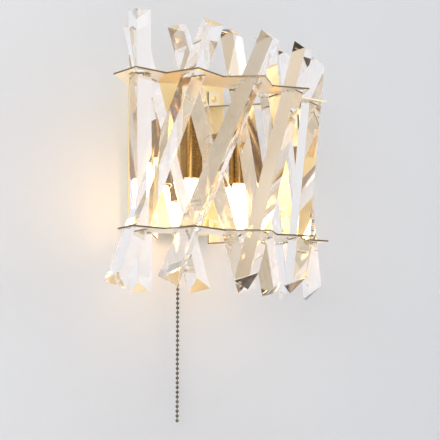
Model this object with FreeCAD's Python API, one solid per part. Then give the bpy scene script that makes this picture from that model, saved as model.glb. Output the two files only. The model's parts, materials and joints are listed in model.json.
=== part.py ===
"""Crystal wall sconce with a pull-chain switch.

Millimetres. +Z is up, +X runs to the right along the wall, and the light stands out
towards -Y. The origin is the centre of the wall strap's two fixing slots, on the wall.
"""
import FreeCAD, Part
import math
import os

Vector = FreeCAD.Vector
X_AXIS, Y_AXIS, Z_AXIS = Vector(1, 0, 0), Vector(0, 1, 0), Vector(0, 0, 1)

# --- Back box and wall strap -------------------------------------------------------
box_width = 103.0
box_height = 158.0
box_depth = 24.0
box_wall = 1.2
box_corner_radius = 3.0
strap_width = 22.0
strap_thickness = 2.0
strap_side_gap = 0.3
ear_depth = 12.0
fixing_spacing = 60.3
fixing_slot_length = 14.0
fixing_slot_width = 4.5
cable_hole_diameter = 16.0
box_screw_diameter = 4.0
box_screw_depth = 7.0
box_screw_head_diameter = 8.0
box_screw_head_height = 2.4

# --- Crystals: equal-sided prisms, one edge outward, the ends cut on a slant -------
crystal_side = 21.0
crystal_back_length = 262.0
crystal_end_slant = 12.0
outer_row_radius = 157.5
row_spacing = 28.0
front_reach = 142.0
# Where each crystal crosses the lower and the upper frame: row and angle in degrees
# about the rows' common centre, seen from above, with 0 straight out from the wall.
crystal_stations = {
    "crystal_left_end": ("inner", -41.5, "outer", -40.5),
    "crystal_outer_1": ("outer", -41.0, "outer", -22.0),
    "crystal_outer_2": ("outer", -22.5, "outer", 0.5),
    "crystal_outer_3": ("outer", 2.5, "outer", 22.5),
    "crystal_outer_4": ("outer", 24.5, "outer", 42.0),
    "crystal_inner_1": ("inner", -23.0, "inner", -39.0),
    "crystal_inner_2": ("inner", 0.0, "inner", -19.0),
    "crystal_inner_3": ("inner", 18.0, "inner", 3.0),
    "crystal_inner_4": ("inner", 40.0, "inner", 22.5),
    "crystal_right_end": ("mid_outer", 42.0, "mid_inner", 44.0),
}

# --- Frames ------------------------------------------------------------------------
frame_thickness = 1.5
frame_distance = 144.0
frames_below_box_centre = 17.0
tooth_reach = 17.0
valley_inset = 5.0
band_inner_margin = 6.0
band_end_margin = 3.0
crystal_clearance = 0.3
arm_foot_width = 14.0
arm_foot_spacing = 76.0
arm_root_angle = 10.0
tab_above_screw = 7.0
upper_tab_screw_rise = 9.0
lower_tab_screw_rise = 8.0
frame_screw_diameter = 4.0
frame_screw_head_diameter = 7.6
frame_screw_head_height = 2.2

# --- Retaining screws that stop the crystals from sliding ----------------------------
retainer_diameter = 2.0
retainer_head_diameter = 6.0
retainer_head_height = 1.3
retainer_bite = 0.9
retainer_clearance = 0.25
retainer_end_length = 0.8

# --- Lamps ---------------------------------------------------------------------------
lamp_spacing = 58.0
lamp_reach = 82.0
sleeve_diameter = 21.3
sleeve_wall = 0.8
sleeve_length = 65.0
sleeve_mouth_below_box_centre = 35.0
arm_drop_in_sleeve = 12.0
arm_diameter = 10.0
arm_bore = 7.0
arm_collar_diameter = 16.0
arm_collar_thickness = 3.0
arm_nut_across_flats = 14.0
arm_nut_height = 3.5
arm_end_inside_box = 6.0
holder_diameter = 17.0
holder_height = 25.0
holder_mouth_depth = 12.0
holder_screw_diameter = 4.0
holder_screw_head_diameter = 8.0
holder_screw_head_height = 2.5
holder_screw_grip = 8.0
lamp_base_diameter = 15.0
lamp_base_height = 13.0
lamp_glass_diameter = 15.5
lamp_glass_length = 45.0
lamp_pin_diameter = 1.4
lamp_pin_spacing = 9.0
lamp_pin_length = 7.0
lamp_pin_clearance = 0.1

# --- Terminal block and earth screw ----------------------------------------------------
block_length = 27.0
block_height = 17.0
block_depth = 13.0
block_below_box_top = 32.0
block_way_spacing = 8.0
block_way_bore = 3.2
block_screw_diameter = 2.6
block_fixing_diameter = 3.0
earth_screw_offset = 13.0
earth_screw_diameter = 4.0
earth_screw_head_diameter = 7.5
earth_screw_head_height = 2.5

# --- Pull switch -------------------------------------------------------------------------
chain_from_wall = 15.0
switch_width = 20.0
switch_thickness = 14.0
switch_wall = 1.2
switch_floor = 1.5
switch_lid = 1.5
neck_diameter = 8.0
neck_bore = 5.4
neck_below_box = 5.0
neck_clearance = 0.2
switch_nut_diameter = 13.0
switch_nut_height = 2.5
stem_diameter = 4.0
stem_clearance = 0.3
plunger_travel = 8.0
spring_closed_height = 4.2
collar_diameter = 9.0
collar_thickness = 1.5
spring_wire = 0.6
spring_mean_diameter = 6.2
rotor_diameter = 11.0
rotor_thickness = 3.0
rotor_gap = 0.4
rotor_bridge_length = 10.0
rotor_bridge_width = 2.4
rotor_bridge_thickness = 0.8
contact_thickness = 0.8
contact_width = 5.0
contact_stand_out = 5.0
contact_drop = 8.0
contact_clearance = 0.5

# --- Pull chain -----------------------------------------------------------------------------
bead_diameter = 3.4
bead_pitch = 4.7
bead_count = 40
link_diameter = 0.9
stem_below_box = 4.0

# --- Places that follow from the sizes above ---------------------------------------------------
inner_row_radius = outer_row_radius - row_spacing
row_centre_y = outer_row_radius - front_reach
row_radius = {
    "outer": outer_row_radius,
    "mid_outer": outer_row_radius - row_spacing / 4,
    "mid_inner": outer_row_radius - row_spacing * 3 / 4,
    "inner": inner_row_radius,
}
section_back = crystal_side / (2 * math.sqrt(3))
section_front = crystal_side / math.sqrt(3)
lower_frame_z = -frames_below_box_centre - frame_distance / 2
upper_frame_z = -frames_below_box_centre + frame_distance / 2
box_bottom = -box_height / 2
box_top = box_height / 2
block_rise = box_top - block_below_box_top
box_inside_front = -(box_depth - box_wall)
sleeve_bottom = -sleeve_mouth_below_box_centre
sleeve_top = sleeve_bottom + sleeve_length
arm_z = sleeve_top - arm_drop_in_sleeve
holder_bottom = sleeve_bottom + holder_mouth_depth
holder_top = holder_bottom + holder_height
switch_bottom = box_bottom + box_wall
stem_bottom = box_bottom - stem_below_box
arm_foot_x = arm_foot_spacing / 2
frame_screw_z = {
    "upper": upper_frame_z + upper_tab_screw_rise,
    "lower": box_bottom + lower_tab_screw_rise,
}


# --- Shapes used more than once ------------------------------------------------------------------
def cylinder(diameter, length, base, direction=Z_AXIS):
    return Part.makeCylinder(diameter / 2, length, base, direction)


def tube(diameter, bore, length, base, direction=Z_AXIS):
    return cylinder(diameter, length, base, direction).cut(
        cylinder(bore, length, base, direction)
    )


def block(low, high):
    size = [high[i] - low[i] for i in range(3)]
    return Part.makeBox(*size, Vector(*low))


def polygon_face(points):
    return Part.Face(Part.makePolygon(list(points) + [points[0]]))


def hexagon_nut(across_flats, bore, height, base, direction):
    corner = across_flats / math.sqrt(3)
    side = Vector(0, 0, 1) if abs(direction.z) < 0.5 else Vector(1, 0, 0)
    other = direction.cross(side)
    points = [
        base + side * corner * math.cos(i * math.pi / 3) + other * corner * math.sin(i * math.pi / 3)
        for i in range(6)
    ]
    nut = polygon_face(points).extrude(direction * height)
    return nut.cut(cylinder(bore, height, base, direction))


def round_screw(diameter, length, head_diameter, head_height, seat, direction):
    """A screw whose head stands on seat and whose shank runs along direction."""
    shank = cylinder(diameter, length, seat, direction)
    head = cylinder(head_diameter, head_height, seat, direction * -1)
    top = [e for e in head.Edges if abs((e.CenterOfMass - seat).dot(direction) + head_height) < 1e-6]
    head = head.makeChamfer(head_height * 0.5, top)
    return head.fuse(shank).removeSplitter()


def polar(radius, angle, z):
    """A point at an angle about the rows' centre, with 0 straight out from the wall."""
    turn = math.radians(angle)
    return Vector(radius * math.sin(turn), row_centre_y - radius * math.cos(turn), z)


# --- Crystals ----------------------------------------------------------------------------------------
class CrystalLine:
    """The straight line of one crystal, with its outward and sideways directions."""

    def __init__(self, station):
        low_row, low_angle, high_row, high_angle = station
        self.low = polar(row_radius[low_row], low_angle, lower_frame_z)
        self.high = polar(row_radius[high_row], high_angle, upper_frame_z)
        self.middle = (self.low + self.high) * 0.5
        self.along = (self.high - self.low).normalize()
        out = self.middle - Vector(0, row_centre_y, self.middle.z)
        out = out - self.along * out.dot(self.along)
        self.out = out.normalize()
        self.side = self.along.cross(self.out)

    def at_height(self, z):
        share = (z - self.low.z) / (self.high.z - self.low.z)
        return self.low + (self.high - self.low) * share

    def corners(self, centre, side, front_shift):
        """The section's front corner and its two back corners about a point of the line."""
        front = centre + self.out * (side / math.sqrt(3)) + self.along * front_shift
        back = centre - self.out * (side / (2 * math.sqrt(3)))
        return front, back + self.side * (side / 2), back - self.side * (side / 2)

    def back_at_height(self, z, distance):
        """The middle of the back face at a height, moved on towards the wall."""
        flat = Vector(self.out.x, self.out.y, 0).normalize()
        reach = section_back / flat.dot(self.out) + distance
        return self.at_height(z) - flat * reach


lines = {name: CrystalLine(station) for name, station in crystal_stations.items()}


def prism_between(low_corners, high_corners):
    faces = [polygon_face(list(low_corners)), polygon_face(list(high_corners))]
    for i in range(3):
        j = (i + 1) % 3
        faces.append(polygon_face([low_corners[i], low_corners[j], high_corners[j], high_corners[i]]))
    solid = Part.makeSolid(Part.makeShell(faces))
    if solid.Volume < 0:
        solid.reverse()
    return solid


def crystal_blank(line):
    half = line.along * (crystal_back_length / 2)
    low = line.corners(line.middle - half, crystal_side, crystal_end_slant)
    high = line.corners(line.middle + half, crystal_side, -crystal_end_slant)
    return prism_between(low, high)


def crystal_hole(line, z):
    """What one crystal's cut-out takes away from a frame at that height."""
    centre = line.at_height(z)
    half = line.along * (frame_thickness * 4)
    side = crystal_side + 2 * math.sqrt(3) * crystal_clearance
    return prism_between(line.corners(centre - half, side, 0), line.corners(centre + half, side, 0))


def retainer_centre(line, frame_z):
    """Where a retaining screw stands beside a crystal's back face, under a frame."""
    head_z = frame_z - frame_thickness / 2 - retainer_head_height / 2
    centre = line.back_at_height(head_z, retainer_head_diameter / 2 - retainer_bite)
    centre.z = frame_z
    return centre


def retainer(line, frame_z):
    seat = retainer_centre(line, frame_z) - Vector(0, 0, frame_thickness / 2)
    length = frame_thickness + retainer_end_length
    shank = cylinder(retainer_diameter, length, seat)
    head = cylinder(retainer_head_diameter, retainer_head_height, seat, Z_AXIS * -1)
    return head.fuse(shank).removeSplitter()


def retainer_pocket(line, frame_z):
    """The shallow crescent in a crystal's back face that a retaining screw's head enters."""
    centre = retainer_centre(line, frame_z)
    low = frame_z - frame_thickness / 2 - retainer_head_height - retainer_clearance
    height = retainer_head_height + 2 * retainer_clearance
    return cylinder(
        retainer_head_diameter + 2 * retainer_clearance, height, Vector(centre.x, centre.y, low)
    )


def make_crystal(name):
    line = lines[name]
    crystal = crystal_blank(line)
    for frame_z in (lower_frame_z, upper_frame_z):
        crystal = crystal.cut(retainer_pocket(line, frame_z))
    return crystal


# --- Frames --------------------------------------------------------------------------------------------
def crossings(level):
    """Row radius and angle of each crystal at one frame, from left to right."""
    first = 0 if level == "lower" else 2
    found = [(row_radius[s[first]], s[first + 1]) for s in crystal_stations.values()]
    return sorted(found, key=lambda crossing: crossing[1])


def frame_outline(level, z):
    """Teeth round the outer crystals, square ends, and an even inner arc."""
    found = crossings(level)
    half = crystal_side / 2 + crystal_clearance * math.sqrt(3) + band_end_margin
    end = max(abs(angle) + math.degrees(half / radius) for radius, angle in found)
    tips = [angle for radius, angle in found if radius >= row_radius["mid_outer"]]
    valley = outer_row_radius - valley_inset
    inner = inner_row_radius - section_back - band_inner_margin
    outer_points = [polar(valley, -end, z)]
    for index, tip in enumerate(tips):
        outer_points.append(polar(outer_row_radius + tooth_reach, tip, z))
        if index + 1 < len(tips):
            outer_points.append(polar(valley, (tip + tips[index + 1]) / 2, z))
    outer_points.append(polar(valley, end, z))
    edges = [Part.LineSegment(a, b).toShape() for a, b in zip(outer_points, outer_points[1:])]
    low_left, low_right = polar(inner, -end, z), polar(inner, end, z)
    edges.append(Part.LineSegment(outer_points[-1], low_right).toShape())
    edges.append(Part.Arc(low_right, polar(inner, 0, z), low_left).toShape())
    edges.append(Part.LineSegment(low_left, outer_points[0]).toShape())
    return Part.Face(Part.Wire(edges)), inner, end


def make_frame(level):
    z = upper_frame_z if level == "upper" else lower_frame_z
    bottom = z - frame_thickness / 2
    outline, inner, end = frame_outline(level, bottom)
    up = Vector(0, 0, frame_thickness)
    frame = outline.extrude(up)
    foot_back = -box_depth
    foot_front = -box_depth - frame_thickness
    tab_top = frame_screw_z[level] + tab_above_screw
    for side in (-1, 1):
        foot_inside = side * (arm_foot_x - arm_foot_width / 2)
        foot_outside = side * (arm_foot_x + arm_foot_width / 2)
        root = inner + band_inner_margin / 2
        arm = polygon_face([
            polar(root, side * end, bottom),
            polar(root, side * (end - arm_root_angle), bottom),
            Vector(foot_inside, foot_front, bottom),
            Vector(foot_inside, foot_back, bottom),
            Vector(foot_outside, foot_back, bottom),
            Vector(foot_outside, foot_front, bottom),
        ]).extrude(up)
        left, right = sorted((foot_inside, foot_outside))
        tab = block((left, foot_front, bottom), (right, foot_back, tab_top))
        screw_hole = cylinder(
            frame_screw_diameter,
            frame_thickness,
            Vector(side * arm_foot_x, foot_front, frame_screw_z[level]),
            Y_AXIS,
        )
        frame = frame.fuse(arm).fuse(tab).cut(screw_hole)
    for line in lines.values():
        frame = frame.cut(crystal_hole(line, z))
        centre = retainer_centre(line, z)
        centre.z = bottom
        frame = frame.cut(cylinder(retainer_diameter, frame_thickness, centre))
    return frame.removeSplitter()


def frame_screw(side, level):
    seat = Vector(side * arm_foot_x, -box_depth - frame_thickness, frame_screw_z[level])
    return round_screw(
        frame_screw_diameter,
        frame_thickness + box_wall + frame_screw_diameter / 2,
        frame_screw_head_diameter,
        frame_screw_head_height,
        seat,
        Y_AXIS,
    )


# --- Back box and strap --------------------------------------------------------------------------------
def rounded_plate(width, height, radius, y, depth):
    """A block with rounded corners seen from the front, from y towards the wall."""
    plate = block((-width / 2, y, -height / 2), (width / 2, y + depth, height / 2))
    upright = [
        e for e in plate.Edges
        if abs(e.Vertexes[0].X - e.Vertexes[1].X) < 1e-6 and abs(e.Vertexes[0].Z - e.Vertexes[1].Z) < 1e-6
    ]
    return plate.makeFillet(radius, upright)


def make_back_box():
    pan = rounded_plate(box_width, box_height, box_corner_radius, -box_depth, box_depth)
    front = [e for e in pan.Edges if abs(e.BoundBox.YMax + box_depth) < 1e-6]
    pan = pan.makeFillet(box_wall, front)
    inside = rounded_plate(
        box_width - 2 * box_wall,
        box_height - 2 * box_wall,
        box_corner_radius - box_wall,
        box_inside_front,
        box_depth,
    )
    pan = pan.cut(inside)
    through = box_wall * 3
    for side in (-1, 1):
        pan = pan.cut(cylinder(
            arm_diameter, through, Vector(side * lamp_spacing / 2, -box_depth - box_wall, arm_z), Y_AXIS
        ))
        for level in ("upper", "lower"):
            place = Vector(side * arm_foot_x, -box_depth - box_wall, frame_screw_z[level])
            pan = pan.cut(cylinder(frame_screw_diameter, through, place, Y_AXIS))
        place = Vector(side * (box_width / 2 + box_wall), -box_screw_depth, 0)
        pan = pan.cut(cylinder(box_screw_diameter, through, place, X_AXIS * -side))
    pan = pan.cut(cylinder(
        block_fixing_diameter, through, Vector(0, -box_depth - box_wall, block_rise), Y_AXIS
    ))
    neck_hole = neck_diameter + 2 * neck_clearance
    return pan.cut(cylinder(
        neck_hole, through, Vector(0, -chain_from_wall, box_bottom - box_wall), Z_AXIS
    ))


def make_wall_bracket():
    half = box_width / 2 - box_wall - strap_side_gap
    strap = block((-half, -strap_thickness, -strap_width / 2), (half, 0, strap_width / 2))
    for side in (-1, 1):
        inside, outside = sorted((side * (half - strap_thickness), side * half))
        ear = block((inside, -ear_depth, -strap_width / 2), (outside, 0, strap_width / 2))
        strap = strap.fuse(ear)
        strap = strap.cut(cylinder(
            box_screw_diameter,
            strap_thickness * 2,
            Vector(side * (half + strap_thickness / 2), -box_screw_depth, 0),
            X_AXIS * -side,
        ))
        straight = (fixing_slot_length - fixing_slot_width) / 2
        centre = side * fixing_spacing / 2
        slot = block(
            (centre - straight, -strap_thickness, -fixing_slot_width / 2),
            (centre + straight, 0, fixing_slot_width / 2),
        )
        for end in (-1, 1):
            place = Vector(centre + end * straight, -strap_thickness, 0)
            slot = slot.fuse(cylinder(fixing_slot_width, strap_thickness, place, Y_AXIS))
        strap = strap.cut(slot)
    strap = strap.cut(cylinder(
        cable_hole_diameter, strap_thickness, Vector(0, -strap_thickness, 0), Y_AXIS
    ))
    earth = Vector(earth_screw_offset, -strap_thickness, 0)
    strap = strap.cut(cylinder(earth_screw_diameter, strap_thickness, earth, Y_AXIS))
    return strap.removeSplitter()


def box_screw(side):
    seat = Vector(side * box_width / 2, -box_screw_depth, 0)
    length = box_wall + strap_side_gap + strap_thickness + box_wall
    return round_screw(
        box_screw_diameter, length, box_screw_head_diameter, box_screw_head_height, seat, X_AXIS * -side
    )


def make_earth_screw():
    seat = Vector(earth_screw_offset, -strap_thickness, 0)
    return round_screw(
        earth_screw_diameter, strap_thickness, earth_screw_head_diameter, earth_screw_head_height,
        seat, Y_AXIS,
    )


# --- Lamps ------------------------------------------------------------------------------------------------
def lamp_centre(side, z):
    return Vector(side * lamp_spacing / 2, -lamp_reach, z)


def make_sleeve(side):
    sleeve = cylinder(sleeve_diameter, sleeve_length, lamp_centre(side, sleeve_bottom))
    inside = sleeve_diameter - 2 * sleeve_wall
    sleeve = sleeve.cut(cylinder(inside, sleeve_length - sleeve_wall, lamp_centre(side, sleeve_bottom)))
    sleeve = sleeve.cut(cylinder(holder_screw_diameter, sleeve_length, lamp_centre(side, holder_top)))
    return sleeve.cut(cylinder(arm_diameter, lamp_reach, lamp_centre(side, arm_z), Y_AXIS))


def make_lamp_arm(side):
    """A threaded tube from inside the sleeve to inside the box, with a collar on the box."""
    start = -lamp_reach + sleeve_diameter / 2 - sleeve_wall
    end = box_inside_front + arm_end_inside_box
    base = Vector(side * lamp_spacing / 2, start, arm_z)
    seat = Vector(base.x, -box_depth - arm_collar_thickness, arm_z)
    arm = cylinder(arm_diameter, end - start, base, Y_AXIS)
    arm = arm.fuse(cylinder(arm_collar_diameter, arm_collar_thickness, seat, Y_AXIS))
    arm = arm.cut(cylinder(arm_bore, end - start, base, Y_AXIS))
    return arm.removeSplitter()


def arm_nut(side):
    base = Vector(side * lamp_spacing / 2, box_inside_front, arm_z)
    return hexagon_nut(arm_nut_across_flats, arm_diameter, arm_nut_height, base, Y_AXIS)


def lamp_pins(side, diameter):
    pins = []
    for end in (-1, 1):
        base = lamp_centre(side, holder_bottom) + Vector(end * lamp_pin_spacing / 2, 0, 0)
        pins.append(cylinder(diameter, lamp_pin_length, base))
    return pins


def make_lampholder(side):
    holder = cylinder(holder_diameter, holder_height, lamp_centre(side, holder_bottom))
    top = lamp_centre(side, holder_top - holder_screw_grip)
    holder = holder.cut(cylinder(holder_screw_diameter, holder_screw_grip, top))
    for pin in lamp_pins(side, lamp_pin_diameter + 2 * lamp_pin_clearance):
        holder = holder.cut(pin)
    return holder


def holder_screw(side):
    seat = lamp_centre(side, sleeve_top)
    length = sleeve_top - holder_top + holder_screw_grip
    return round_screw(
        holder_screw_diameter, length, holder_screw_head_diameter, holder_screw_head_height,
        seat, Z_AXIS * -1,
    )


def make_lamp(side):
    base_bottom = holder_bottom - lamp_base_height
    lamp = cylinder(lamp_base_diameter, lamp_base_height, lamp_centre(side, base_bottom))
    radius = lamp_glass_diameter / 2
    straight = lamp_glass_length - radius
    glass = cylinder(lamp_glass_diameter, straight, lamp_centre(side, base_bottom - straight))
    glass = glass.fuse(Part.makeSphere(radius, lamp_centre(side, base_bottom - straight)))
    lamp = lamp.fuse(glass)
    for pin in lamp_pins(side, lamp_pin_diameter):
        lamp = lamp.fuse(pin)
    return lamp.removeSplitter()


# --- Terminal block ------------------------------------------------------------------------------------------
block_bottom = block_rise - block_height / 2


def block_way_x(index):
    return (index - 1) * block_way_spacing


def make_terminal_block():
    body = block(
        (-block_length / 2, box_inside_front, block_bottom),
        (block_length / 2, box_inside_front + block_depth, block_bottom + block_height),
    )
    fixing = cylinder(
        block_fixing_diameter, block_depth / 2, Vector(0, box_inside_front, block_rise), Y_AXIS
    )
    body = body.cut(fixing)
    entry_y = box_inside_front + block_depth * 0.7
    for index in range(3):
        x = block_way_x(index)
        for end in (-1, 1):
            base = Vector(x, entry_y, block_rise + end * block_height / 2)
            body = body.cut(cylinder(block_way_bore, block_height * 0.3, base, Z_AXIS * -end))
            top = Vector(x, box_inside_front + block_depth, block_rise + end * block_height / 4)
            body = body.cut(cylinder(block_screw_diameter, block_depth * 0.2, top, Y_AXIS * -1))
    return body


def make_terminal_screws():
    screws = []
    for index in range(3):
        for end in (-1, 1):
            top = Vector(
                block_way_x(index), box_inside_front + block_depth, block_rise + end * block_height / 4
            )
            screws.append(cylinder(block_screw_diameter, block_depth * 0.2, top, Y_AXIS * -1))
    return Part.makeCompound(screws)


def make_block_screw():
    seat = Vector(0, -box_depth, block_rise)
    return round_screw(
        block_fixing_diameter, box_wall + block_depth / 2, block_fixing_diameter * 2,
        block_fixing_diameter / 2, seat, Y_AXIS,
    )


# --- Pull switch ------------------------------------------------------------------------------------------------
switch_axis = Vector(0, -chain_from_wall, 0)
case_floor = switch_bottom + switch_floor
spring_top = case_floor + spring_closed_height + plunger_travel
rotor_shelf = spring_top + collar_thickness + rotor_gap
rotor_bottom = rotor_shelf + rotor_gap
stem_top = rotor_bottom + rotor_thickness / 2 + plunger_travel
switch_top = stem_top + rotor_gap
contact_x = rotor_bridge_length / 2 + contact_clearance


def on_chain_line(z):
    return switch_axis + Vector(0, 0, z)


def make_switch_case():
    """The open cup of the switch, its threaded neck through the box and its inner shelf."""
    half_width, half_depth = switch_width / 2, switch_thickness / 2
    y = -chain_from_wall
    case = block((-half_width, y - half_depth, switch_bottom), (half_width, y + half_depth, switch_top))
    case = case.cut(block(
        (-half_width + switch_wall, y - half_depth + switch_wall, case_floor),
        (half_width - switch_wall, y + half_depth - switch_wall, switch_top),
    ))
    shelf_low = rotor_shelf - switch_wall
    shelf = block(
        (-half_width + switch_wall, y - half_depth + switch_wall, shelf_low),
        (half_width - switch_wall, y + half_depth - switch_wall, rotor_shelf),
    )
    shelf = shelf.cut(cylinder(collar_diameter + 2 * stem_clearance, switch_wall, on_chain_line(shelf_low)))
    neck_length = box_wall + neck_below_box
    neck = tube(neck_diameter, neck_bore, neck_length, on_chain_line(switch_bottom - neck_length))
    case = case.fuse(shelf).fuse(neck)
    bore = stem_diameter + 2 * stem_clearance
    return case.cut(cylinder(bore, switch_floor, on_chain_line(switch_bottom))).removeSplitter()


def contact_x_range(side):
    return sorted((side * contact_x, side * (contact_x + contact_thickness)))


def make_switch_cover():
    half_width, half_depth = switch_width / 2, switch_thickness / 2
    y = -chain_from_wall
    lid = block(
        (-half_width, y - half_depth, switch_top), (half_width, y + half_depth, switch_top + switch_lid)
    )
    for side in (-1, 1):
        low, high = contact_x_range(side)
        lid = lid.cut(block(
            (low, y - contact_width / 2, switch_top), (high, y + contact_width / 2, switch_top + switch_lid)
        ))
    return lid


def make_switch_terminals():
    blades = []
    for side in (-1, 1):
        low, high = contact_x_range(side)
        blades.append(block(
            (low, -chain_from_wall - contact_width / 2, switch_top - contact_drop),
            (high, -chain_from_wall + contact_width / 2, switch_top + switch_lid + contact_stand_out),
        ))
    return Part.makeCompound(blades)


def make_switch_rotor():
    """The contact carrier, with its brass bridge on top, round the plunger's stem."""
    bore = stem_diameter + 2 * stem_clearance
    rotor = tube(rotor_diameter, bore, rotor_thickness, on_chain_line(rotor_bottom))
    bridge_low = rotor_bottom + rotor_thickness
    y = -chain_from_wall
    bridge = block(
        (-rotor_bridge_length / 2, y - rotor_bridge_width / 2, bridge_low),
        (rotor_bridge_length / 2, y + rotor_bridge_width / 2, bridge_low + rotor_bridge_thickness),
    )
    bridge = bridge.cut(cylinder(bore, rotor_bridge_thickness, on_chain_line(bridge_low)))
    return rotor.fuse(bridge)


def make_switch_plunger():
    plunger = cylinder(stem_diameter, stem_top - stem_bottom, on_chain_line(stem_bottom))
    return plunger.fuse(cylinder(collar_diameter, collar_thickness, on_chain_line(spring_top)))


def make_switch_spring():
    """The coil's envelope between the case's floor and the plunger's collar."""
    inside = spring_mean_diameter - spring_wire
    return tube(spring_mean_diameter + spring_wire, inside, spring_top - case_floor, on_chain_line(case_floor))


def make_switch_nut():
    base = on_chain_line(box_bottom - switch_nut_height)
    return tube(switch_nut_diameter, neck_diameter, switch_nut_height, base)


# --- Pull chain ----------------------------------------------------------------------------------------------------
def make_pull_chain():
    """Hollow beads on short links, turned as one outline about the chain's line."""
    radius, link = bead_diameter / 2, link_diameter / 2
    outline = [(0, stem_bottom), (link, stem_bottom)]
    for index in range(bead_count):
        centre = stem_bottom - bead_pitch / 2 - index * bead_pitch
        for share_r, share_z in ((0.62, 0.79), (1.0, 0.3), (1.0, -0.3), (0.62, -0.79)):
            outline.append((radius * share_r, centre + radius * share_z))
        if index + 1 < bead_count:
            outline[-4:-4] = [(link, centre + radius * 0.92)]
            outline.append((link, centre - radius * 0.92))
    last = stem_bottom - bead_pitch / 2 - (bead_count - 1) * bead_pitch
    outline[-4:-4] = [(link, last + radius * 0.92)]
    outline.append((0, last - radius))
    points = [switch_axis + Vector(r, 0, z) for r, z in outline]
    return polygon_face(points).revolve(switch_axis, Z_AXIS, 360)


# --- All pieces ------------------------------------------------------------------------------------------------------
def both_sides(maker, *levels):
    if levels:
        return Part.makeCompound([maker(side, level) for side in (-1, 1) for level in levels])
    return Part.makeCompound([maker(side) for side in (-1, 1)])


def all_pieces():
    pieces = {
        "back_box": make_back_box(),
        "wall_bracket": make_wall_bracket(),
        "box_screws": both_sides(box_screw),
        "earth_screw": make_earth_screw(),
        "terminal_block": make_terminal_block(),
        "terminal_screws": make_terminal_screws(),
        "block_screw": make_block_screw(),
        "upper_frame": make_frame("upper"),
        "lower_frame": make_frame("lower"),
        "frame_screws": both_sides(frame_screw, "upper", "lower"),
        "upper_retainers": Part.makeCompound([retainer(line, upper_frame_z) for line in lines.values()]),
        "lower_retainers": Part.makeCompound([retainer(line, lower_frame_z) for line in lines.values()]),
        "arm_nuts": both_sides(arm_nut),
        "holder_screws": both_sides(holder_screw),
        "switch_case": make_switch_case(),
        "switch_cover": make_switch_cover(),
        "switch_terminals": make_switch_terminals(),
        "switch_nut": make_switch_nut(),
        "switch_plunger": make_switch_plunger(),
        "switch_spring": make_switch_spring(),
        "switch_rotor": make_switch_rotor(),
        "pull_chain": make_pull_chain(),
    }
    for name in crystal_stations:
        pieces[name] = make_crystal(name)
    for side, word in ((-1, "left"), (1, "right")):
        pieces["lamp_arm_" + word] = make_lamp_arm(side)
        pieces["lamp_sleeve_" + word] = make_sleeve(side)
        pieces["lampholder_" + word] = make_lampholder(side)
        pieces["lamp_" + word] = make_lamp(side)
    return pieces


os.makedirs("parts", exist_ok=True)
for piece_name, shape in all_pieces().items():
    shape.exportStep("parts/" + piece_name + ".step")
    print(piece_name, len(shape.Solids), round(shape.Volume, 1), shape.isValid())
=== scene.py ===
import json
import math

import bmesh
import bpy
from mathutils import Matrix, Vector


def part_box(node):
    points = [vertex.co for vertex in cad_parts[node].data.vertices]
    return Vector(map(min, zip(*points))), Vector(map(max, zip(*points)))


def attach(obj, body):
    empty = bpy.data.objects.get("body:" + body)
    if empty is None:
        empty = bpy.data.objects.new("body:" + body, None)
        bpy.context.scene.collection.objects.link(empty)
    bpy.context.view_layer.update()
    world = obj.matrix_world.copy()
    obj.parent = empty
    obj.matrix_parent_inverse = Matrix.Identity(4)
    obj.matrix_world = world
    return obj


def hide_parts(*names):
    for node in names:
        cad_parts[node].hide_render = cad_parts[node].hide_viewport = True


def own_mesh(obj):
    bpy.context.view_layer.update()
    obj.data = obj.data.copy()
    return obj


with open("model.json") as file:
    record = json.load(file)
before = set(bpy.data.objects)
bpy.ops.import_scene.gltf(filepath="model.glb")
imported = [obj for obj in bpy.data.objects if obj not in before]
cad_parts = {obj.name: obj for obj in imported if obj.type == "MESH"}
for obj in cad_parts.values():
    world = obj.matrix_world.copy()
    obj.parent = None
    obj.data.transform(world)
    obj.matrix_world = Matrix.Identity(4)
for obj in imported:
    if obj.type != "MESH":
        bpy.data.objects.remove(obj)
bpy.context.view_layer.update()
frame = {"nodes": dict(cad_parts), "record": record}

# A wall sconce. Two gold zigzag plates on a gold wall box carry ten clear crystal prisms in
# front of two capsule lamps, and a bead chain under the box works the switch.
# Lengths are in metres. X runs to the right, Y into the wall and Z up.
LIGHT, PULL = "light", "pull"
CRYSTALS = (
    ["crystal_left_end", "crystal_right_end"]
    + ["crystal_outer_%d" % i for i in range(1, 5)]
    + ["crystal_inner_%d" % i for i in range(1, 5)]
)
FRAMES = ("upper_frame", "lower_frame")
LIGHT_BOUNCES = 32  # light crosses many facets before it leaves the crystals
scene = bpy.context.scene
scene.view_settings.view_transform = "Standard"
scene.cycles.max_bounces = LIGHT_BOUNCES
scene.cycles.transmission_bounces = LIGHT_BOUNCES
scene.cycles.glossy_bounces = LIGHT_BOUNCES


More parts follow.
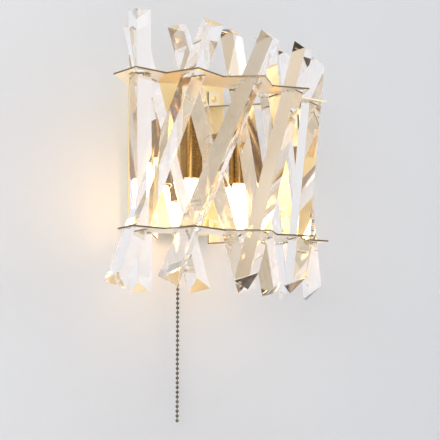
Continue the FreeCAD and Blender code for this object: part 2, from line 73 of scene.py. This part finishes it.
# --- Material helpers ----------------------------------------------------------------
class Surface:
    """A Principled material that the helpers below add their detail to."""

    def __init__(self, name, colour, roughness=0.5, metallic=0.0, **sockets):
        self.material = bpy.data.materials.new(name)
        self.material.use_nodes = True
        self.nodes = self.material.node_tree.nodes
        self.links = self.material.node_tree.links
        self.shader = self.nodes["Principled BSDF"]
        self.output = self.nodes["Material Output"]
        self.set("Base Color", (*colour, 1.0))
        self.set("Roughness", roughness)
        self.set("Metallic", metallic)
        for socket, value in sockets.items():
            self.set(socket.replace("_", " "), value)

    def set(self, socket, value):
        self.shader.inputs[socket].default_value = value

    def node(self, kind, **values):
        made = self.nodes.new(kind)
        for key, value in values.items():
            if key in made.inputs:
                made.inputs[key].default_value = value
            else:
                setattr(made, key, value)
        return made

    def noise(self, scale, stretch=(1, 1, 1), detail=3.0):
        place = self.node("ShaderNodeTexCoord")
        mapping = self.node("ShaderNodeMapping")
        mapping.inputs["Scale"].default_value = stretch
        noise = self.node("ShaderNodeTexNoise")
        noise.inputs["Scale"].default_value = scale
        noise.inputs["Detail"].default_value = detail
        self.links.new(place.outputs["Object"], mapping.inputs["Vector"])
        self.links.new(mapping.outputs["Vector"], noise.inputs["Vector"])
        return noise.outputs["Fac"]

    def ramp(self, factor, low, high, start=0.3, end=0.7):
        """Maps a factor to between two colours or two greys."""
        ramp = self.node("ShaderNodeValToRGB")
        stops = ramp.color_ramp.elements
        stops[0].position, stops[1].position = start, end
        for stop, value in zip(stops, (low, high)):
            stop.color = (*value, 1) if hasattr(value, "__len__") else (value, value, value, 1)
        self.links.new(factor, ramp.inputs["Fac"])
        return ramp.outputs["Color"]

    def vary_colour(self, scale, low, high, stretch=(1, 1, 1)):
        colour = self.ramp(self.noise(scale, stretch), low, high)
        self.links.new(colour, self.shader.inputs["Base Color"])
        return self

    def vary_roughness(self, scale, low, high, stretch=(1, 1, 1)):
        roughness = self.ramp(self.noise(scale, stretch), low, high)
        self.links.new(roughness, self.shader.inputs["Roughness"])
        return self

    def bump(self, scale, distance, strength=0.3, stretch=(1, 1, 1), detail=3.0):
        bump = self.node("ShaderNodeBump")
        bump.inputs["Strength"].default_value = strength
        bump.inputs["Distance"].default_value = distance
        self.links.new(self.noise(scale, stretch, detail), bump.inputs["Height"])
        self.links.new(bump.outputs["Normal"], self.shader.inputs["Normal"])
        return self

    def clear_shadow(self, share):
        """Lets part of the light through to what stands behind, as clear glass does."""
        path = self.node("ShaderNodeLightPath")
        gain = self.node("ShaderNodeMath", operation="MULTIPLY")
        gain.inputs[1].default_value = share
        clear = self.node("ShaderNodeBsdfTransparent")
        mix = self.node("ShaderNodeMixShader")
        self.links.new(path.outputs["Is Shadow Ray"], gain.inputs[0])
        self.links.new(gain.outputs[0], mix.inputs["Fac"])
        self.links.new(self.shader.outputs[0], mix.inputs[1])
        self.links.new(clear.outputs[0], mix.inputs[2])
        self.links.new(mix.outputs[0], self.output.inputs["Surface"])
        return self

    def one_sided(self):
        """Shows a stage plane from its front only."""
        side = self.node("ShaderNodeNewGeometry")
        clear = self.node("ShaderNodeBsdfTransparent")
        mix = self.node("ShaderNodeMixShader")
        self.links.new(side.outputs["Backfacing"], mix.inputs["Fac"])
        self.links.new(self.shader.outputs[0], mix.inputs[1])
        self.links.new(clear.outputs[0], mix.inputs[2])
        self.links.new(mix.outputs[0], self.output.inputs["Surface"])
        return self

    def absorb(self, colour, density):
        """Deepens the tint of clear glass with the length of the way through it."""
        volume = self.node("ShaderNodeVolumeAbsorption")
        volume.inputs["Color"].default_value = (*colour, 1)
        volume.inputs["Density"].default_value = density
        self.links.new(volume.outputs[0], self.output.inputs["Volume"])
        return self


# --- Materials -------------------------------------------------------------------------
crystal_glass = Surface(
    "crystal_glass", (0.985, 0.975, 0.96), 0.0, IOR=1.62, Transmission_Weight=1.0
).bump(30, 0.0002, 0.03).clear_shadow(0.85).absorb((0.90, 0.84, 0.75), 14.0)
GOLD_LOW, GOLD_HIGH = (0.94, 0.77, 0.43), (0.99, 0.85, 0.53)
frame_gold = (
    Surface("frame_gold", (0.96, 0.90, 0.75), 0.3, 1.0)
    .vary_colour(18, (0.94, 0.86, 0.70), (0.98, 0.93, 0.80))
    .vary_roughness(60, 0.40, 0.52)
    .bump(600, 0.00003, 0.05)
)
box_gold = (
    Surface("box_gold", GOLD_HIGH, 0.28, 1.0)
    .vary_colour(12, GOLD_LOW, GOLD_HIGH)
    .vary_roughness(90, 0.36, 0.5, (1, 1, 30))
    .bump(220, 0.00006, 0.1, (1, 1, 40))
)
# Painted shade: the frame plates' upright edges are a dark brown gold, far darker than their pale
# faces.
frame_shaded_edge = (
    Surface("frame_shaded_edge", (0.2, 0.15, 0.085), 0.45, 1.0)
    .vary_colour(40, (0.16, 0.12, 0.065), (0.25, 0.19, 0.11))
    .bump(500, 0.00004, 0.2, (1, 1, 0.1))
)
sleeve_gold = (
    Surface("sleeve_gold", (0.31, 0.18, 0.06), 0.24, 1.0)
    .vary_colour(30, (0.28, 0.16, 0.05), (0.34, 0.20, 0.07))
    .vary_roughness(80, 0.18, 0.30, (1, 1, 20))
    .bump(260, 0.00005, 0.2, (1, 1, 30))
)
contact_brass = Surface("contact_brass", (0.72, 0.55, 0.25), 0.35, 1.0).vary_colour(
    200, (0.62, 0.46, 0.2), (0.78, 0.6, 0.3)
)
zinc = (
    Surface("zinc_plate", (0.62, 0.64, 0.66), 0.4, 1.0)
    .vary_colour(70, (0.52, 0.54, 0.57), (0.70, 0.71, 0.72))
    .vary_roughness(140, 0.32, 0.5)
)
spring_steel = Surface("spring_steel", (0.45, 0.45, 0.47), 0.3, 1.0).vary_roughness(300, 0.25, 0.4)
chain_metal = (
    Surface("chain_metal", (0.16, 0.14, 0.11), 0.34, 1.0)
    .vary_colour(400, (0.10, 0.085, 0.065), (0.24, 0.21, 0.165))
    .vary_roughness(900, 0.26, 0.42)
)
white_plastic = (
    Surface("white_plastic", (0.84, 0.83, 0.80), 0.45)
    .vary_colour(40, (0.81, 0.80, 0.76), (0.86, 0.85, 0.82))
    .bump(900, 0.00004, 0.2)
)
black_plastic = (
    Surface("black_plastic", (0.035, 0.035, 0.04), 0.4)
    .vary_roughness(160, 0.34, 0.5)
    .bump(1200, 0.00004, 0.25)
)
ceramic = (
    Surface("ceramic", (0.87, 0.86, 0.82), 0.22, Coat_Weight=0.4)
    .vary_colour(60, (0.84, 0.82, 0.77), (0.90, 0.89, 0.86))
    .bump(500, 0.00005, 0.15)
)
lamp_glass = Surface(
    "lamp_glass", (1.0, 0.95, 0.86), 0.25, Transmission_Weight=0.6, IOR=1.45,
    Emission_Color=(1.0, 0.64, 0.29, 1.0), Emission_Strength=8.0,
).bump(300, 0.00005, 0.1)

SLOT_SURFACES = {
    "crystal": crystal_glass,
    "satin_brass": box_gold,
    "contact_brass": contact_brass,
    "zinc": zinc,
    "spring_steel": spring_steel,
    "chain_metal": chain_metal,
    "white_plastic": white_plastic,
    "black_plastic": black_plastic,
    "ceramic": ceramic,
    "lamp_glass": lamp_glass,
}
node_slot = {p["node"]: p["material_slot"] for p in frame["record"]["subparts"]}
node_body = {
    node: body for body, nodes in frame["record"]["behaviour"]["bodies"].items() for node in nodes
}


def paint(piece, surface):
    piece.data.materials.clear()
    piece.data.materials.append(surface.material)


# --- Dressed copies of CAD nodes: merged, with softened edges ---------------------------
MERGE_DISTANCE = 1e-6
FLAT_ANGLE, SHARP_ANGLE = math.radians(0.3), math.radians(28)
BEVEL_STEPS = 2


def edge_angle(edge):
    return edge.calc_face_angle(0.0) if len(edge.link_faces) == 2 else 0.0


def merged_copy(node):
    """A copy of a CAD node, and its mesh open for work, with flat neighbours made one face."""
    mesh = frame["nodes"][node].data.copy()
    piece = bpy.data.objects.new(node + "_shown", mesh)
    scene.collection.objects.link(piece)
    work = bmesh.new()
    work.from_mesh(mesh)
    bmesh.ops.remove_doubles(work, verts=work.verts, dist=MERGE_DISTANCE)
    bmesh.ops.dissolve_limit(work, angle_limit=FLAT_ANGLE, verts=work.verts, edges=work.edges)
    return piece, work


def stand_in(piece, node, surface):
    """Paints a piece and puts it in the place of a CAD node."""
    paint(piece, surface)
    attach(piece, node_body[node])
    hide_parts(node)


def dressed(node, surface, width, shortest=0.0, smooth=True):
    """A copy of a CAD node whose edges have small bevels, standing in the node's place."""
    piece, work = merged_copy(node)
    mesh = piece.data
    weights = work.edges.layers.float.new("bevel_weight_edge")
    for face in work.faces:
        face.smooth = smooth
    for edge in work.edges:
        folded = edge_angle(edge) > SHARP_ANGLE
        edge.smooth = not folded
        edge[weights] = 1.0 if folded and edge.calc_length() > shortest else 0.0
    work.to_mesh(mesh)
    work.free()
    if "custom_normal" in mesh.attributes:
        mesh.attributes.remove(mesh.attributes["custom_normal"])
    bevel = piece.modifiers.new("edges", "BEVEL")
    bevel.limit_method = "WEIGHT"
    bevel.width = width
    bevel.segments = BEVEL_STEPS
    bevel.use_clamp_overlap = True
    bevel.harden_normals = smooth
    stand_in(piece, node, surface)
    return piece


CRYSTAL_BEVEL, CRYSTAL_SHORTEST = 0.0004, 0.004
FRAME_BEVEL, FRAME_SHORTEST = 0.0002, 0.0005
for name in CRYSTALS:
    dressed(name, crystal_glass, CRYSTAL_BEVEL, shortest=CRYSTAL_SHORTEST, smooth=False)
for name in FRAMES:
    plate = dressed(name, frame_gold, FRAME_BEVEL, shortest=FRAME_SHORTEST)
    # The plates' upright edges, all but the faces towards the wall, take the painted shade.
    plate.data.materials.append(frame_shaded_edge.material)
    for face in plate.data.polygons:
        upright, facing_wall = abs(face.normal.z) < 0.2, abs(face.normal.y) >= 0.999
        if upright and not facing_wall:
            face.material_index = 1


# A driver slot, in shares of its screw head's width, and its turn from head to head.
SLOT_LENGTH, SLOT_WIDTH, SLOT_DEPTH = 0.78, 0.13, 0.12
FIRST_TURN, NEXT_TURN = 37, 71


def separate_solids(work):
    """The points of each separate solid of a mesh, in a steady order."""
    loose, solids = set(work.verts), []
    while loose:
        solid, todo = set(), [next(iter(loose))]
        while todo:
            vert = todo.pop()
            if vert in solid:
                continue
            solid.add(vert)
            todo.extend(edge.other_vert(vert) for edge in vert.link_edges)
        loose -= solid
        solids.append([vert.co.copy() for vert in solid])
    return sorted(solids, key=lambda points: tuple(min(points, key=tuple)))


def slotted(node, axis, outward, surface):
    """Copies of a node's screws with a driver slot cut in each head.

    The heads face along axis, to the side that outward gives, or away from the middle for 0.
    """
    piece, work = merged_copy(node)
    screws = separate_solids(work)
    work.to_mesh(piece.data)
    work.free()
    across = [i for i in range(3) if i != axis]
    face_axis = Vector([1 if i == axis else 0 for i in range(3)]).to_track_quat("Z", "Y")
    slots = bmesh.new()
    for index, points in enumerate(screws):
        way = outward if outward else (1 if sum(p[axis] for p in points) > 0 else -1)
        low = [min(p[i] for p in points) for i in range(3)]
        high = [max(p[i] for p in points) for i in range(3)]
        centre = Vector([(low[i] + high[i]) / 2 for i in range(3)])
        centre[axis] = max(p[axis] * way for p in points) * way
        width = high[across[0]] - low[across[0]]
        size = (width * SLOT_LENGTH, width * SLOT_WIDTH, width * SLOT_DEPTH * 2, 1)
        turn = Matrix.Rotation(math.radians(FIRST_TURN + NEXT_TURN * index), 4, "Z")
        place = Matrix.Translation(centre) @ face_axis.to_matrix().to_4x4() @ turn
        bmesh.ops.create_cube(slots, size=1, matrix=place @ Matrix.Diagonal(size))
    slot_mesh = bpy.data.meshes.new(node + "_slots")
    slots.to_mesh(slot_mesh)
    slots.free()
    cutter = bpy.data.objects.new(node + "_slots", slot_mesh)
    scene.collection.objects.link(cutter)
    cut = piece.modifiers.new("slots", "BOOLEAN")
    cut.operation = "DIFFERENCE"
    cut.solver = "EXACT"
    cut.object = cutter
    bpy.context.view_layer.update()
    seen = piece.evaluated_get(bpy.context.evaluated_depsgraph_get())
    piece.data = bpy.data.meshes.new_from_object(seen)
    piece.modifiers.clear()
    bpy.data.objects.remove(cutter)
    for face in piece.data.polygons:
        face.use_smooth = False
    stand_in(piece, node, surface)


X, Y, Z = 0, 1, 2
SCREWS = {
    "box_screws": (X, 0, box_gold),
    "frame_screws": (Y, -1, box_gold),
    "upper_retainers": (Z, -1, contact_brass),
    "lower_retainers": (Z, -1, contact_brass),
    "holder_screws": (Z, 1, box_gold),
    "earth_screw": (Y, 1, contact_brass),
}
for name, (axis, outward, surface) in SCREWS.items():
    slotted(name, axis, outward, surface)

EDGED = {
    "back_box": (box_gold, 0.0003),
    "wall_bracket": (zinc, 0.0002),
    "lamp_sleeve_left": (sleeve_gold, 0.0002),
    "lamp_sleeve_right": (sleeve_gold, 0.0002),
    "lamp_arm_left": (sleeve_gold, 0.0002),
    "lamp_arm_right": (sleeve_gold, 0.0002),
    "arm_nuts": (box_gold, 0.0002),
    "switch_nut": (box_gold, 0.0002),
    "lampholder_left": (ceramic, 0.0003),
    "lampholder_right": (ceramic, 0.0003),
    "terminal_block": (white_plastic, 0.0003),
}
EDGED_SHORTEST = 0.0002
for name, (surface, width) in EDGED.items():
    dressed(name, surface, width, shortest=EDGED_SHORTEST)


TURNED_SHARP_ANGLE = math.radians(35)


def turned(name, profile, centre, surface, body=LIGHT, steps=40):
    """A piece turned about an upright axis from (radius, height) points."""
    work = bmesh.new()
    rings = []
    for radius, height in profile:
        if radius < 1e-6:
            rings.append([work.verts.new(centre + Vector((0, 0, height)))])
            continue
        turns = [2 * math.pi * i / steps for i in range(steps)]
        rings.append([
            work.verts.new(centre + Vector((radius * math.cos(t), radius * math.sin(t), height)))
            for t in turns
        ])
    for low, high in zip(rings, rings[1:]):
        for i in range(steps):
            j = (i + 1) % steps
            corners = [
                low[i % len(low)], low[j % len(low)], high[j % len(high)], high[i % len(high)],
            ]
            work.faces.new(list(dict.fromkeys(corners)))
    bmesh.ops.recalc_face_normals(work, faces=work.faces)
    for face in work.faces:
        face.smooth = True
    for edge in work.edges:
        edge.smooth = edge_angle(edge) < TURNED_SHARP_ANGLE
    mesh = bpy.data.meshes.new(name)
    work.to_mesh(mesh)
    work.free()
    piece = bpy.data.objects.new(name, mesh)
    scene.collection.objects.link(piece)
    paint(piece, surface)
    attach(piece, body)
    return piece


# --- Capsule lamps: a glowing envelope, a ceramic base and two pins -----------------------
GLASS_LENGTH, BASE_LENGTH, PIN_LENGTH = 0.045, 0.013, 0.007
GLASS_RADIUS, BASE_RADIUS, PIN_RADIUS, PIN_OFFSET = 0.00775, 0.0075, 0.0007, 0.0045
DOME_HEIGHT, TIP_HEIGHT = 0.0065, 0.0008
DOME_ANGLES = (0.35, 0.6, 0.85, 1.1, 1.35, math.pi / 2)
GLASS_PROFILE = [(0.0, 0.0), (0.0009, 0.0001), (0.0013, 0.0009)] + [
    (GLASS_RADIUS * math.sin(a), DOME_HEIGHT * (1 - math.cos(a)) + TIP_HEIGHT * math.cos(a))
    for a in DOME_ANGLES
] + [(GLASS_RADIUS, 0.041), (0.0072, 0.0436), (0.0066, GLASS_LENGTH)]
BASE_PROFILE = [
    (0.0, GLASS_LENGTH), (0.0069, GLASS_LENGTH), (BASE_RADIUS, GLASS_LENGTH + 0.0008),
    (BASE_RADIUS, 0.0490), (0.0070, 0.0494), (0.0070, 0.0506), (BASE_RADIUS, 0.0510),
    (BASE_RADIUS, 0.0570), (0.0068, 0.0580), (0.0, GLASS_LENGTH + BASE_LENGTH),
]
PIN_PROFILE = [
    (0.0, 0.0), (PIN_RADIUS, 0.0), (PIN_RADIUS, PIN_LENGTH - 0.0004),
    (PIN_RADIUS * 0.5, PIN_LENGTH), (0.0, PIN_LENGTH),
]
for word in ("left", "right"):
    node = "lamp_" + word
    low, high = (Vector(corner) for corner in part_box(node))
    foot = Vector(((low.x + high.x) / 2, (low.y + high.y) / 2, low.z))
    glass = turned(node + "_glass", GLASS_PROFILE, foot, lamp_glass)
    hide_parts(node)
    turned(node + "_base", BASE_PROFILE, foot, ceramic)
    for side, offset in (("a", -PIN_OFFSET), ("b", PIN_OFFSET)):
        at = foot + Vector((offset, 0, GLASS_LENGTH + BASE_LENGTH))
        turned(
            node + "_pin_" + side, PIN_PROFILE, at, contact_brass, steps=12
        )

# The other CAD nodes are shown as they are.
LAMPS = {"lamp_left", "lamp_right"}
SHOWN_ANEW = LAMPS | set(CRYSTALS) | set(FRAMES) | set(SCREWS) | set(EDGED)
for name, node in frame["nodes"].items():
    if name not in SHOWN_ANEW:
        paint(node, SLOT_SURFACES[node_slot[name]])


# --- Return spring, which shortens between the plunger and the case floor: here it only gets a mesh of its own ---
low, high = (Vector(corner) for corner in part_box("switch_spring"))
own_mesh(frame["nodes"]["switch_spring"])

# --- Pull chain: one line with its beads ---------------------------------------------------
BEAD_DIAMETER, BEAD_PITCH, BEAD_COUNT = 0.0034, 0.0047, 40
LINK_DIAMETER = 0.0009
CHAIN_TOP = Vector((0.0, -0.015, -0.083))
chain_length = BEAD_PITCH * (BEAD_COUNT - 0.5) + BEAD_DIAMETER / 2
line = bpy.data.curves.new("chain_line", "CURVE")
line.dimensions = "3D"
line.bevel_depth = LINK_DIAMETER / 2
line.bevel_resolution = 3
line.use_fill_caps = True
CHAIN_SHARES = (0.0, 0.04, 0.35, 0.7, 1.0)
spline = line.splines.new("NURBS")
spline.points.add(len(CHAIN_SHARES) - 1)
for point, share in zip(spline.points, CHAIN_SHARES):
    point.co = (*(CHAIN_TOP - Vector((0, 0, chain_length * share))), 1)
spline.order_u = 3
spline.use_endpoint_u = True
chain_line = bpy.data.objects.new("chain_line", line)
scene.collection.objects.link(chain_line)
beads = bpy.data.meshes.new("chain_beads")
work = bmesh.new()
for index in range(BEAD_COUNT):
    centre = CHAIN_TOP - Vector((0, 0, BEAD_PITCH * (index + 0.5)))
    bmesh.ops.create_uvsphere(
        work, u_segments=20, v_segments=12, radius=BEAD_DIAMETER / 2,
        matrix=Matrix.Translation(centre),
    )
for face in work.faces:
    face.smooth = True
work.to_mesh(beads)
work.free()
chain_beads = bpy.data.objects.new("chain_beads", beads)
scene.collection.objects.link(chain_beads)
for piece in (chain_line, chain_beads):
    paint(piece, chain_metal)
    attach(piece, PULL)
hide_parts("pull_chain")

# --- Stage: a pale wall and a pale floor, seen from their fronts only -------------------------
WALL_COLOUR, FLOOR_COLOUR = (0.80, 0.805, 0.82), (0.82, 0.82, 0.82)
MATT = 0.9
REACH, FLOOR_HEIGHT, FLOOR_FRONT = 3, -0.6, -4
WALL_GAP, OPENING_INSET = 0.0004, 0.002
# Painted reflection: glass and metal show the wall glowing a cool white, a little paler than it is
# lit.
WALL_LIFT, WALL_LIFT_COLOUR = 0.22, (0.76, 0.80, 1.0, 1)


def stage_plane(name, corners, faces):
    mesh = bpy.data.meshes.new(name)
    mesh.from_pydata(corners, [], faces)
    piece = bpy.data.objects.new(name, mesh)
    scene.collection.objects.link(piece)
    return piece


# The wall is open where the back box covers it, so that the box isn't sealed.
box_low, box_high = (Vector(corner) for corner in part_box("back_box"))
columns = (-REACH, box_low.x + OPENING_INSET, box_high.x - OPENING_INSET, REACH)
rows = (FLOOR_HEIGHT, box_low.z + OPENING_INSET, box_high.z - OPENING_INSET, REACH)
wall = stage_plane("wall", [(x, WALL_GAP, z) for z in rows for x in columns], [
    (4 * row + col, 4 * row + col + 1, 4 * row + col + 5, 4 * row + col + 4)
    for row in range(3) for col in range(3) if (row, col) != (1, 1)
])
wall_paint = Surface("wall_paint", WALL_COLOUR, MATT).bump(40, 0.0006, 0.12, detail=6.0).one_sided()
# Painted reflection: glossy and transmission rays see the wall with an added cool glow.
seen_by = wall_paint.node("ShaderNodeLightPath")
shown_in = wall_paint.node("ShaderNodeMath", operation="MAXIMUM")
lift = wall_paint.node("ShaderNodeMath", operation="MULTIPLY")
lift.inputs[1].default_value = WALL_LIFT
wall_paint.set("Emission Color", WALL_LIFT_COLOUR)
wall_paint.links.new(seen_by.outputs["Is Glossy Ray"], shown_in.inputs[0])
wall_paint.links.new(seen_by.outputs["Is Transmission Ray"], shown_in.inputs[1])
wall_paint.links.new(shown_in.outputs[0], lift.inputs[0])
wall_paint.links.new(lift.outputs[0], wall_paint.shader.inputs["Emission Strength"])
paint(wall, wall_paint)
floor_corners = ((-REACH, FLOOR_FRONT), (REACH, FLOOR_FRONT), (REACH, REACH), (-REACH, REACH))
floor = stage_plane("floor", [(x, y, FLOOR_HEIGHT) for x, y in floor_corners], [(0, 1, 2, 3)])
paint(floor, Surface("floor_paint", FLOOR_COLOUR, MATT).one_sided())

# --- World: a plain sky, and the room that glass and metal show -------------------------------
SKY_COLOUR, SKY_STRENGTH = (0.90, 0.91, 0.93, 1), 0.55
ROOM_STRENGTH = 1.6
# Across the room from left to right, from below to above, and its unevenness.
ROOM_ACROSS = (
    (0.25, (0.48, 0.41, 0.32, 1)), (0.55, (0.54, 0.50, 0.44, 1)), (0.85, (0.58, 0.51, 0.42, 1)),
)
ROOM_UPWARD = ((0.45, (0.76, 0.74, 0.71, 1)), (0.72, (1, 1, 1, 1)))
ROOM_UNEVEN = ((0.36, (0.74, 0.70, 0.64, 1)), (0.64, (1.2, 1.2, 1.22, 1)))

world = bpy.data.worlds.new("studio")
scene.world = world
world.use_nodes = True
world_nodes, world_links = world.node_tree.nodes, world.node_tree.links


def world_node(kind, inputs=(), links=(), **settings):
    """A node of the world with its settings, the values of its inputs and what feeds them."""
    made = world_nodes.new(kind)
    for key, value in settings.items():
        setattr(made, key, value)
    for socket, value in dict(inputs).items():
        made.inputs[socket].default_value = value
    for socket, source in dict(links).items():
        world_links.new(source, made.inputs[socket])
    return made


def world_ramp(factor, stops):
    ramp = world_node("ShaderNodeValToRGB", links={"Fac": factor})
    places = ramp.color_ramp.elements
    while len(places) < len(stops):
        places.new(0.5)
    for place, (position, colour) in zip(places, stops):
        place.position, place.color = position, colour
    return ramp.outputs["Color"]


def from_zero_to_one(component):
    """Maps a direction's component, from -1 to 1, to 0 to 1."""
    half = world_node(
        "ShaderNodeMath", inputs={1: 0.5, 2: 0.5}, links={0: component}, operation="MULTIPLY_ADD"
    )
    return half.outputs[0]


def multiplied(first, second):
    product = world_node(
        "ShaderNodeMixRGB", inputs={"Fac": 1.0}, links={"Color1": first, "Color2": second},
        blend_type="MULTIPLY",
    )
    return product.outputs["Color"]


direction = world_node("ShaderNodeTexCoord").outputs["Generated"]
parts = world_node("ShaderNodeSeparateXYZ", links={0: direction})
room_colour = multiplied(
    world_ramp(from_zero_to_one(parts.outputs["X"]), ROOM_ACROSS),
    world_ramp(from_zero_to_one(parts.outputs["Z"]), ROOM_UPWARD),
)
uneven = world_node("ShaderNodeTexNoise", {"Scale": 5.0, "Detail": 2.5}, {"Vector": direction})
room_colour = multiplied(room_colour, world_ramp(uneven.outputs["Fac"], ROOM_UNEVEN))
room = world_node("ShaderNodeBackground", {"Strength": ROOM_STRENGTH}, {"Color": room_colour})
sky = world_nodes["Background"]
sky.inputs["Color"].default_value = SKY_COLOUR
sky.inputs["Strength"].default_value = SKY_STRENGTH
path = world_node("ShaderNodeLightPath")
mirrored = world_node("ShaderNodeMath", operation="MAXIMUM", links={
    0: path.outputs["Is Glossy Ray"], 1: path.outputs["Is Transmission Ray"],
})
either = world_node("ShaderNodeMixShader", links={
    "Fac": mirrored.outputs[0], 1: sky.outputs[0], 2: room.outputs[0],
})
world_links.new(either.outputs[0], world_nodes["World Output"].inputs["Surface"])

# --- Lights: soft rectangles, by place, target, size, power and colour -----------------------
LIGHTS = {
    "right_window": ((1.6, -1.5, 0.5), (0, 0, 0), (1.4, 1.8), 5.5, (1, 1, 1)),
    "left_fill": ((-1.8, -1.6, 0.3), (0, 0, -0.1), (1.2, 1.2), 20, (0.98, 1.0, 1.03)),
    "top_fill": ((0.0, -0.9, 1.7), (0, 0, 0), (1.6, 1.0), 6, (1, 1, 1)),
}
for name, (place, target, size, power, colour) in LIGHTS.items():
    light = bpy.data.lights.new(name, "AREA")
    light.shape = "RECTANGLE"
    light.size, light.size_y = size
    light.energy = power
    light.color = colour
    lamp = bpy.data.objects.new(name, light)
    scene.collection.objects.link(lamp)
    lamp.location = place
    lamp.rotation_euler = (Vector(target) - Vector(place)).to_track_quat("-Z", "Y").to_euler()
    lamp.visible_transmission = False

# --- Camera: level ahead and to the left, looking a little up ---------------------------------
CAMERA_AZIMUTH, CAMERA_PITCH = math.radians(35.6), math.radians(6.96)
CAMERA_PLACE = Vector((-0.5932, -0.9175, -0.1977))
LENS, SENSOR_WIDTH = 86.72, 36
NEAREST, FARTHEST = 0.05, 50
ahead = Vector((
    math.sin(CAMERA_AZIMUTH) * math.cos(CAMERA_PITCH),
    math.cos(CAMERA_AZIMUTH) * math.cos(CAMERA_PITCH),
    math.sin(CAMERA_PITCH),
))
camera_data = bpy.data.cameras.new("camera")
camera_data.lens = LENS
camera_data.sensor_width = SENSOR_WIDTH
camera_data.clip_start, camera_data.clip_end = NEAREST, FARTHEST
camera = bpy.data.objects.new("camera", camera_data)
scene.collection.objects.link(camera)
camera.location = CAMERA_PLACE
camera.rotation_euler = ahead.to_track_quat("-Z", "Y").to_euler()
scene.camera = camera
